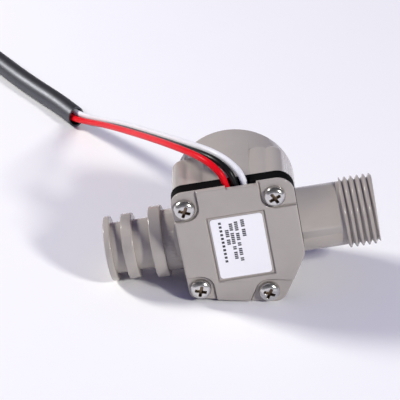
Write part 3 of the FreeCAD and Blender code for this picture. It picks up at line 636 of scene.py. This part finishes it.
class FLOWSENSOR_OT_camera(bpy.types.Operator):
    """Add the camera"""

    bl_idname = "flow_sensor.camera"
    bl_label = "Camera"

    def execute(self, context):
        camera = bpy.data.objects.new("camera", bpy.data.cameras.new("camera"))
        context.scene.collection.objects.link(camera)
        camera.data.sensor_width = FILM_WIDTH
        camera.data.lens = CAMERA_LENS
        camera.data.clip_start = NEAR_CLIP
        level = math.cos(CAMERA_ELEVATION)
        back = Vector((
            math.sin(CAMERA_AZIMUTH) * level,
            -math.cos(CAMERA_AZIMUTH) * level,
            math.sin(CAMERA_ELEVATION)))
        camera.location = AIM + back * CAMERA_DISTANCE
        camera.rotation_euler = (math.pi / 2 - CAMERA_ELEVATION, 0.0, CAMERA_AZIMUTH)
        context.scene.camera = camera
        return {"FINISHED"}


class FLOWSENSOR_OT_lead(bpy.types.Operator):
    """Lay the three wires, the sleeve over them and the connector at the far end"""

    bl_idname = "flow_sensor.lead"
    bl_label = "Lead"

    def execute(self, context):
        sleeve_points = sleeve_route()
        for colour, lane in LANES:
            slot = f"{colour}_wire"
            wire = smooth_cord(
                f"{colour}_wire", wire_route(colour, lane), WIRE_SKIN, slot, f"wire_{colour}")
            smooth_cord(
                f"{colour}_tail", tail_route(colour, lane), WIRE_RADIUS, slot, f"tail_{colour}")
        line = smooth_line(sleeve_points)
        skin = sleeve_tube(sleeve_points, line, context.scene.flow_sizes.sleeve_wall)
        sleeve = add_piece("black_sleeve", skin, "black_sleeve", ["cable_sleeve"])
        plug = "connector_housing"
        shell = add_piece("connector_shell", copy_of(plug), "ivory_plastic", [plug])
        soften(shell, context.scene.flow_sizes.edge_softness)
        return {"FINISHED"}


def thread_shell(pitch, depth):
    """The threaded end of the pipe as a closed ring, in the own frame with the pipe axis on X."""
    shape = bmesh.new()
    root = THREAD_CREST - depth
    turns = math.ceil((THREAD_END - SHELL_START) / pitch) + 3
    first = FIRST_ROOT - 2 * pitch
    strip = [
        shape.verts.new((first + pitch * along, 0.0, root + depth * height)) for along, height in PROFILE]
    edges = [shape.edges.new(pair) for pair in zip(strip, strip[1:])]
    bmesh.ops.spin(
        shape, geom=strip + edges, cent=(0, 0, 0), axis=(1, 0, 0), dvec=(pitch / STEPS_PER_TURN, 0, 0),
        angle=2 * math.pi * turns, steps=STEPS_PER_TURN * turns, use_merge=False, use_duplicate=False)
    bmesh.ops.remove_doubles(shape, verts=shape.verts, dist=1e-3)
    for plane, way, cut in (
            (SHELL_START, -1, True), (THREAD_END, 1, True), (THREAD_START, 1, False),
            (THREAD_START + RUN_IN_CUT, 1, False)):
        bmesh.ops.bisect_plane(
            shape, geom=[*shape.verts, *shape.edges, *shape.faces], dist=1e-5,
            plane_co=(plane, 0, 0), plane_no=(way, 0, 0), clear_outer=cut)
    for vert in shape.verts:
        radius = math.hypot(vert.co.y, vert.co.z)
        growth = min(max((vert.co.x - THREAD_START) / RUN_IN, 0.0), 1.0)
        wanted = PIPE_RADIUS + (radius - PIPE_RADIUS) * growth
        chamfer = THREAD_CREST - CHAMFER_DEPTH + (THREAD_END - vert.co.x) * CHAMFER_SLOPE
        wanted = min(wanted, chamfer)
        vert.co.y *= wanted / radius
        vert.co.z *= wanted / radius
    rims = [edge for edge in shape.edges if edge.is_boundary]
    for plane in (SHELL_START, THREAD_END):
        bore = bmesh.ops.create_circle(
            shape, segments=STEPS_PER_TURN, radius=BORE_RADIUS,
            matrix=Matrix.Translation((plane, 0, 0)) @ Matrix.Rotation(math.pi / 2, 4, "Y"))
        circle = {edge for vert in bore["verts"] for edge in vert.link_edges}
        rim = [edge for edge in rims if all(abs(vert.co.x - plane) < 1e-3 for vert in edge.verts)]
        bmesh.ops.bridge_loops(shape, edges=[*circle, *rim])
    bmesh.ops.bridge_loops(shape, edges=[edge for edge in shape.edges if edge.is_boundary])
    bmesh.ops.recalc_face_normals(shape, faces=shape.faces)
    return shape


class FLOWSENSOR_OT_housing(bpy.types.Operator):
    """Finish the moulded housing and cut its pipe thread"""

    bl_idname = "flow_sensor.housing"
    bl_label = "Housing"

    def execute(self, context):
        sizes = context.scene.flow_sizes
        shape = copy_of("housing")
        bmesh.ops.bisect_plane(
            shape, geom=[*shape.verts, *shape.edges, *shape.faces], dist=1e-7,
            plane_co=own_point(SHELL_START, 0, 0), plane_no=PIPE_WAY, clear_outer=True)
        bmesh.ops.bridge_loops(shape, edges=[edge for edge in shape.edges if edge.is_boundary])
        add_piece("moulded_housing", shape, "grey_plastic", ["housing"])
        thread = thread_shell(sizes.thread_pitch, sizes.thread_depth)
        bmesh.ops.transform(
            thread, matrix=OWN_FRAME @ Matrix.Translation((0, 0, -PIPE_DROP)), verts=thread.verts)
        add_piece("pipe_thread", thread, "grey_plastic")
        return {"FINISHED"}


class FLOWSENSOR_OT_cover(bpy.types.Operator):
    """Finish the cover plate, the tray and the gasket"""

    bl_idname = "flow_sensor.cover"
    bl_label = "Cover"

    def execute(self, context):
        softness = context.scene.flow_sizes.edge_softness
        for name, node in (("cover", "cover_plate"), ("tray", "sensor_tray"), ("gasket", "sealing_gasket")):
            soften(add_piece(name, copy_of(node), node_slot(node), [node]), softness)
        return {"FINISHED"}


class FLOWSENSOR_OT_screws(bpy.types.Operator):
    """Finish the four cover screws"""

    bl_idname = "flow_sensor.screws"
    bl_label = "Screws"

    def execute(self, context):
        into_own = OWN_FRAME.inverted()
        shallow, deep = CROSS_DEPTHS
        for number, ((x, z), turn) in enumerate(zip(SCREWS, CROSS_TURNS), 1):
            node = f"cover_screw_{number}"
            shape = copy_of(node)
            bmesh.ops.rotate(
                shape, verts=shape.verts, cent=own_point(x, HEAD_TOP, z),
                matrix=Matrix.Rotation(math.radians(turn), 3, REAR_WAY))
            screw = add_piece(f"pan_screw_{number}", shape, "steel", [node])
            # Faces inside the cross recess take the darker finish: painted shade, with brownish dirt
            screw.data.materials.append(finish_for("recess_dirt_and_shade"))
            for face in screw.data.polygons:
                centre = into_own @ face.center
                near = math.hypot(centre.x - x, centre.z - z) < CROSS_REACH
                if near and shallow < centre.y - HEAD_TOP < deep:
                    face.material_index = 1
            soften(screw, context.scene.flow_sizes.screw_softness)
        return {"FINISHED"}


class FLOWSENSOR_OT_label(bpy.types.Operator):
    """Finish the label and print its rows of plain dashes"""

    bl_idname = "flow_sensor.label"
    bl_label = "Label"

    def execute(self, context):
        add_piece("label", copy_of("rating_label"), "label", ["rating_label"])
        ink = bmesh.new()
        for side, top, words, width, height in PRINT_ROWS:
            for letters in words:
                for letter in range(letters):
                    centre = Vector((
                        LABEL_CENTRE[0] + side, LABEL_FRONT, LABEL_CENTRE[1] + top - letter * DASH_STEP))
                    size = Matrix.Diagonal((width, DASH_THICKNESS, height, 1.0))
                    bmesh.ops.create_cube(
                        ink, size=1.0, matrix=OWN_FRAME @ Matrix.Translation(centre) @ size)
                top -= (letters + 1) * DASH_STEP
        add_piece("label_print", ink, "ink")
        return {"FINISHED"}


class FLOWSENSOR_OT_inside(bpy.types.Operator):
    """Give the pieces inside the housing and the connector their finishes"""

    bl_idname = "flow_sensor.inside"
    bl_label = "Inner Pieces"

    def execute(self, context):
        for node, piece in frame["nodes"].items():
            if not piece.hide_render:
                piece.material_slots[0].material = finish_for(node_slot(node))
        return {"FINISHED"}


def softbox(name, azimuth, elevation, distance, width, height, power, colour):
    """A flat lamp that points at the sensor. Azimuth is from +X to the rear, in degrees."""
    lamp = bpy.data.lights.new(name, "AREA")
    lamp.shape = "RECTANGLE"
    lamp.size = width
    lamp.size_y = height
    lamp.energy = power
    lamp.color = colour
    level = math.cos(math.radians(elevation))
    way = Vector((
        math.cos(math.radians(azimuth)) * level, math.sin(math.radians(azimuth)) * level,
        math.sin(math.radians(elevation))))
    holder = bpy.data.objects.new(name, lamp)
    holder.location = way * distance
    holder.rotation_euler = way.to_track_quat("Z", "Y").to_euler()
    bpy.context.scene.collection.objects.link(holder)


def grey_room(world):
    """A grey room with a darker ceiling, as it is seen and mirrored, and its faint lavender light."""
    world.use_nodes = True
    world.node_tree.nodes.clear()
    nodes = Nodes(world.node_tree)
    shown = nodes.node("ShaderNodeLightPath", output="Is Camera Ray")
    for kind in ("Is Glossy Ray", "Is Transmission Ray"):
        shown = shown.larger(nodes.node("ShaderNodeLightPath", output=kind))
    way = nodes.node("ShaderNodeTexCoord", output="Generated")
    height = nodes.node("ShaderNodeSeparateXYZ", inputs={0: way}, output="Z")
    low, high = ROOM_CHANGE
    upwards = nodes.node("ShaderNodeMapRange", inputs={"Value": height, "From Min": low, "From Max": high})
    seen = nodes.mixed(upwards, ROOM_LOW, ROOM_HIGH)
    light = nodes.node("ShaderNodeBackground", inputs={"Color": ROOM_LIGHT, "Strength": ROOM_STRENGTH})
    backdrop = nodes.node("ShaderNodeBackground", inputs={"Color": seen, "Strength": 1.0})
    room = nodes.node("ShaderNodeMixShader", inputs={0: shown, 1: light, 2: backdrop})
    nodes.node("ShaderNodeOutputWorld", inputs={"Surface": room})


class FLOWSENSOR_OT_stage(bpy.types.Operator):
    """Add the pale floor, the lamps and the room's soft light"""

    bl_idname = "flow_sensor.stage"
    bl_label = "Stage"

    def execute(self, context):
        scene = context.scene
        shape = bmesh.new()
        bmesh.ops.create_grid(shape, x_segments=1, y_segments=1, size=FLOOR_REACH)
        mesh = bpy.data.meshes.new("floor")
        shape.to_mesh(mesh)
        shape.free()
        floor = bpy.data.objects.new("floor", mesh)
        scene.collection.objects.link(floor)
        mesh.materials.append(finish_for("floor"))
        for name, lamp in LAMPS.items():
            softbox(name, **lamp)
        scene.world = bpy.data.worlds.new("room")
        grey_room(scene.world)
        scene.view_settings.view_transform = "Standard"
        return {"FINISHED"}


OPERATORS = [
    FLOWSENSOR_OT_camera,
    FLOWSENSOR_OT_lead,
    FLOWSENSOR_OT_housing,
    FLOWSENSOR_OT_cover,
    FLOWSENSOR_OT_screws,
    FLOWSENSOR_OT_label,
    FLOWSENSOR_OT_inside,
    FLOWSENSOR_OT_stage,
]


class FLOWSENSOR_PT_sidebar(bpy.types.Panel):
    """Sizes, colours and steps of the flow sensor"""

    bl_idname = "FLOWSENSOR_PT_sidebar"
    bl_label = "Flow Sensor"
    bl_space_type = "VIEW_3D"
    bl_region_type = "UI"
    bl_category = "Flow Sensor"

    def draw(self, context):
        for group in (context.scene.flow_sizes, context.scene.flow_colours):
            column = self.layout.column()
            for name in group.__annotations__:
                column.prop(group, name)
        for operator in OPERATORS:
            self.layout.operator(operator.bl_idname)


CLASSES = [FlowSensorSizes, FlowSensorColours, *OPERATORS, FLOWSENSOR_PT_sidebar]


def register():
    for item in CLASSES:
        bpy.utils.register_class(item)
    bpy.types.Scene.flow_sizes = bpy.props.PointerProperty(type=FlowSensorSizes)
    bpy.types.Scene.flow_colours = bpy.props.PointerProperty(type=FlowSensorColours)


def unregister():
    del bpy.types.Scene.flow_colours
    del bpy.types.Scene.flow_sizes
    for item in reversed(CLASSES):
        bpy.utils.unregister_class(item)


def main():
    register()
    for operator in OPERATORS:
        group, step = operator.bl_idname.split(".")
        getattr(getattr(bpy.ops, group), step)()


if __name__ == "__main__":
    main()
